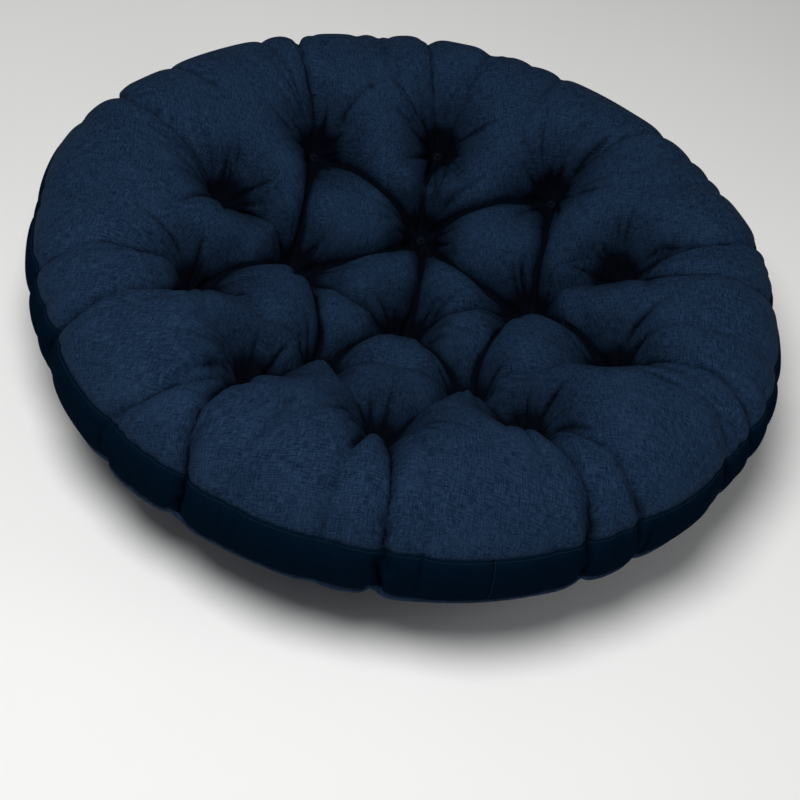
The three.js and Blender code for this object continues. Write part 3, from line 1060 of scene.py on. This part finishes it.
class CUSHION_OT_cover(bpy.types.Operator):
    """Sew, fill and tuft the cover, and cut it into its face, its band strips and its underside"""

    bl_idname = "cushion.cover"
    bl_label = "Cover"

    def execute(self, context):
        cover = Cover.get()
        cut = cover.cut
        panel_cloth = linen_weave("panel_cloth", 0.0)
        # band_cloth is the same weave as panel_cloth, blended almost wholly to the painted band shade.
        band_cloth = linen_weave("band_cloth", 0.95)
        ease = sewing().length_ease
        face = cover.piece("cover_face", cover.faces_of(Cut.FACE), lambda c: cut.flat[c] * ease)
        apply_modifier(face, "SUBSURF", levels=1, render_levels=1)
        crumple(face.data, ease)
        finish_cloth(face, panel_cloth, "cover_cloth", "top_cover", ease)
        for index in range(JOINS):
            faces, flat = cover.band_faces(index)
            strip = cover.piece(f"cover_band_{index + 1}", faces, flat.get)
            apply_modifier(strip, "SUBSURF", levels=1, render_levels=1)
            finish_cloth(strip, band_cloth, "band_cloth", f"side_band_{index + 1}")
        ease = sewing().under_ease
        below = cover.faces_of(Cut.UNDER)
        under = cover.piece("cover_underside", below, lambda c: cut.flat[c - cut.under] * ease)
        finish_cloth(under, panel_cloth, "cover_cloth", "bottom_cover", ease)
        return {"FINISHED"}


class CUSHION_OT_filling(bpy.types.Operator):
    """Stuff the cover with loose fibre"""

    bl_idname = "cushion.filling"
    bl_label = "Filling"

    def execute(self, context):
        cover = Cover.get()
        middle, near_tuft = cover.middle_points()
        least, more = FILLING_SHARE
        share = (least + more * smooth(near_tuft, *FILLING_RISE))[:, None]
        inside = middle * (1 - share) + cover.points * share
        inside[:, 2] = np.maximum(inside[:, 2], FILLING_OFF_GROUND)
        filling = new_piece("filling", inside, cover.cut.faces)
        shade_smooth(filling)
        finish_piece(filling, loose_fibre("loose_fibre"), "polyester_fibre", "fibre_fill")
        return {"FINISHED"}


def one_stitch(length, radius):
    """Points and faces of one stitch along X, modelled from a bevelled cylinder."""
    bpy.ops.mesh.primitive_cylinder_add(
        vertices=6, radius=radius, depth=length, end_fill_type="NGON", rotation=(0, math.pi / 2, 0)
    )
    stitch = bpy.context.active_object
    bpy.ops.object.transform_apply(location=True, rotation=True, scale=True)
    apply_modifier(stitch, "BEVEL", width=radius * 0.55, segments=1, limit_method="ANGLE")
    points = points_of(stitch.data)
    faces = [tuple(polygon.vertices) for polygon in stitch.data.polygons]
    bpy.data.objects.remove(stitch, do_unlink=True)
    return points, faces


def stitched_line(name, path, outward, closed, pitch):
    """A run of stitches along a line of points, each lying on the cloth."""
    if closed:
        path = np.vstack([path, path[:1]])
        outward = np.vstack([outward, outward[:1]])
    steps = np.linalg.norm(np.diff(path, axis=0), axis=1)
    along = np.concatenate([[0], np.cumsum(steps)])
    count = int(along[-1] // pitch)
    pattern, pattern_faces = one_stitch(pitch * STITCH_SHARE, STITCH_RADIUS)
    points, faces = [], []

    def read(line, place):
        return np.array([np.interp(place, along, line[:, k]) for k in range(3)])

    for i in range(count):
        middle = (i + 0.5) * along[-1] / count
        at = read(path, middle)
        up = read(outward, middle)
        forward = read(path, middle + pitch * 0.4) - read(path, middle - pitch * 0.4)
        forward /= max(np.linalg.norm(forward), 1e-9)
        side = np.cross(up, forward)
        side /= max(np.linalg.norm(side), 1e-9)
        up = np.cross(forward, side)
        base = len(points) * len(pattern)
        points.append(at + pattern @ np.array([forward, side, up]))
        faces += [tuple(corner + base for corner in face) for face in pattern_faces]
    piece = new_piece(name, np.vstack(points), faces)
    shade_smooth(piece)
    return piece


def between(values, first, second, share):
    return values[first] * (1 - share) + values[second] * share


class CUSHION_OT_stitching(bpy.types.Operator):
    """Stitch the two seams of the band and its three joins"""

    bl_idname = "cushion.stitching"
    bl_label = "Stitching"

    def execute(self, context):
        cover = Cover.get()
        cut = cover.cut
        thread = twisted_thread("sewing_thread", tuple(colours().thread), 1400.0)
        pitch = sewing().stitch_pitch
        runs = (
            ("face_seam_stitching", 0, 1, "top_seam_thread"),
            ("underside_seam_stitching", -1, -2, "bottom_seam_thread"),
        )
        for name, seam, beside, node in runs:
            seam_line, next_line = cut.band_lines[seam], cut.band_lines[beside]
            normals = between(cover.normals, seam_line, next_line, SEAM_ASIDE)
            normals /= np.linalg.norm(normals, axis=1)[:, None]
            path = between(cover.points, seam_line, next_line, SEAM_ASIDE) + normals * STITCH_LIFT
            run = stitched_line(name, path, normals, True, pitch)
            finish_piece(run, thread, "thread", node)
        for index in range(JOINS):
            column = cover.join_column(index)
            lines = [line[column] for line in cut.band_lines]
            beside = [line[(column + 1) % cut.columns] for line in cut.band_lines]
            normals = cover.normals[lines]
            path = between(cover.points, lines, beside, JOIN_ASIDE) + normals * STITCH_LIFT
            run = stitched_line(f"band_join_stitching_{index + 1}", path, normals, False, pitch)
            finish_piece(run, thread, "thread", f"band_join_thread_{index + 1}")
        return {"FINISHED"}


class CUSHION_OT_tufts(bpy.types.Operator):
    """Finish the discs and cords of the tufts"""

    bl_idname = "cushion.tufts"
    bl_label = "Tufts"

    def execute(self, context):
        disc = moulded_plastic("disc_plastic", tuple(colours().disc))
        cord = twisted_thread("tuft_cord", tuple(part * 0.3 for part in colours().thread), 900.0)
        for name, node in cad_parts.items():
            if name.startswith("tuft_"):
                node.material_slots[0].material = cord if "cord" in name else disc
        return {"FINISHED"}


def soft_light(name, place, target, size, power):
    bpy.ops.object.light_add(type="AREA", location=place)
    lamp = bpy.context.active_object
    lamp.name = name
    lamp.data.shape = "DISK"
    lamp.data.size = size
    lamp.data.energy = power
    lamp.rotation_euler = (Vector(target) - Vector(place)).to_track_quat("-Z", "Y").to_euler()


class CUSHION_OT_stage(bpy.types.Operator):
    """Set out the floor, the lights and the camera"""

    bl_idname = "cushion.stage"
    bl_label = "Stage"

    def execute(self, context):
        light = studio()
        bpy.ops.mesh.primitive_plane_add(size=24.0, location=(0, 0, -0.0005))
        floor = bpy.context.active_object
        floor.name = "studio_floor"
        floor.data.materials.append(pale_floor("studio_floor"))
        soft_light("key_light", (-0.5, -1.1, 3.1), (0, 0, 0.1), 1.6, light.key_power)
        soft_light("side_light", (2.6, -0.6, 1.6), (0, 0, 0.2), 1.4, light.fill_power)
        world = bpy.data.worlds.new("studio_sky")
        context.scene.world = world
        world.use_nodes = True
        sky = world.node_tree.nodes["Background"].inputs
        sky["Color"].default_value = (1.0, 1.0, 1.0, 1.0)
        sky["Strength"].default_value = light.sky
        context.scene.view_settings.view_transform = "Standard"
        rise = light.elevation
        back = Vector((0.0, -math.cos(rise), math.sin(rise)))
        across = Vector((1.0, 0.0, 0.0))
        upward = back.cross(across)
        c, s = math.cos(light.roll), math.sin(light.roll)
        right = across * c + upward * s
        up = upward * c - across * s
        rim = Vector((0.0, 0.0, shape().centre_height + shape().dish_depth))
        eye = rim + back * light.distance
        bpy.ops.object.camera_add(location=eye)
        camera = bpy.context.active_object
        turned = Matrix((right, up, back)).transposed().to_4x4()
        camera.matrix_world = Matrix.Translation(eye) @ turned
        camera.data.lens = light.lens
        camera.data.sensor_width = 36.0
        camera.data.shift_x = light.shift_x
        camera.data.shift_y = light.shift_y
        camera.data.clip_end = 60.0
        context.scene.camera = camera
        return {"FINISHED"}


class CUSHION_PT_panel(bpy.types.Panel):
    """The cushion's pieces, in the order they are made"""

    bl_idname = "CUSHION_PT_panel"
    bl_label = "Cushion"
    bl_space_type = "VIEW_3D"
    bl_region_type = "UI"
    bl_category = "Cushion"

    def draw(self, context):
        for operator in OPERATORS:
            self.layout.operator(operator.bl_idname)
        for group in (shape(), sewing(), colours(), studio()):
            box = self.layout.box()
            for key in group.__annotations__:
                box.prop(group, key)


OPERATORS = (CUSHION_OT_cover, CUSHION_OT_filling, CUSHION_OT_stitching, CUSHION_OT_tufts, CUSHION_OT_stage)
GROUPS = {
    "cushion_shape": CushionShape,
    "cushion_sewing": CushionSewing,
    "cushion_colours": CushionColours,
    "cushion_studio": CushionStudio,
}


def register():
    for kind in (*GROUPS.values(), *OPERATORS, CUSHION_PT_panel):
        bpy.utils.register_class(kind)
    for name, kind in GROUPS.items():
        setattr(bpy.types.Scene, name, bpy.props.PointerProperty(type=kind))


def unregister():
    for name in GROUPS:
        delattr(bpy.types.Scene, name)
    for kind in (CUSHION_PT_panel, *reversed(OPERATORS), *reversed(GROUPS.values())):
        bpy.utils.unregister_class(kind)


def main():
    register()
    bpy.ops.cushion.cover()
    bpy.ops.cushion.filling()
    bpy.ops.cushion.stitching()
    bpy.ops.cushion.tufts()
    bpy.ops.cushion.stage()


if __name__ == "__main__":
    main()
